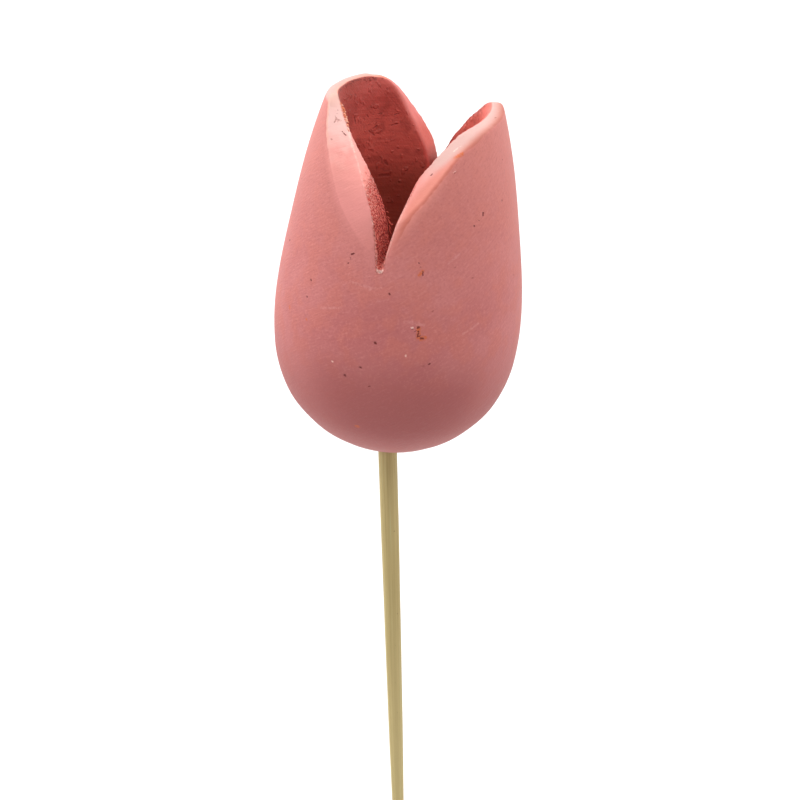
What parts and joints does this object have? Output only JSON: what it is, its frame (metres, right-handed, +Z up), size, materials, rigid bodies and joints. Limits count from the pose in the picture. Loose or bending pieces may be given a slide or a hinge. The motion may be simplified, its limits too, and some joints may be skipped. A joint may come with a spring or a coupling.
{
  "type": "wooden tulip pick",
  "caption": "Turned, hollow wooden tulip head in matte pink, notched into petals, on a slim tapered bamboo stem that pushes into soil, foam or a bunch.",
  "frame": {"origin": "the blunt point at the lower end of the stem, on the stem's axis", "axes": "+Z up along the stem towards the head; the head leans 5.75 degrees towards +X; its deep notch faces -Y"},
  "size_m": [0.0408, 0.0404, 0.201],
  "materials": {
    "painted_wood": "matte paint over turned wood, sanded at the edges",
    "bamboo": "bare, smooth, fine lengthwise fibres",
    "glue": "cured wood glue, amber"
  },
  "bodies": {
    "root": {"tulip_head": "painted_wood", "stem": "bamboo", "glue_joint": "glue"}
  },
  "joints": []
}
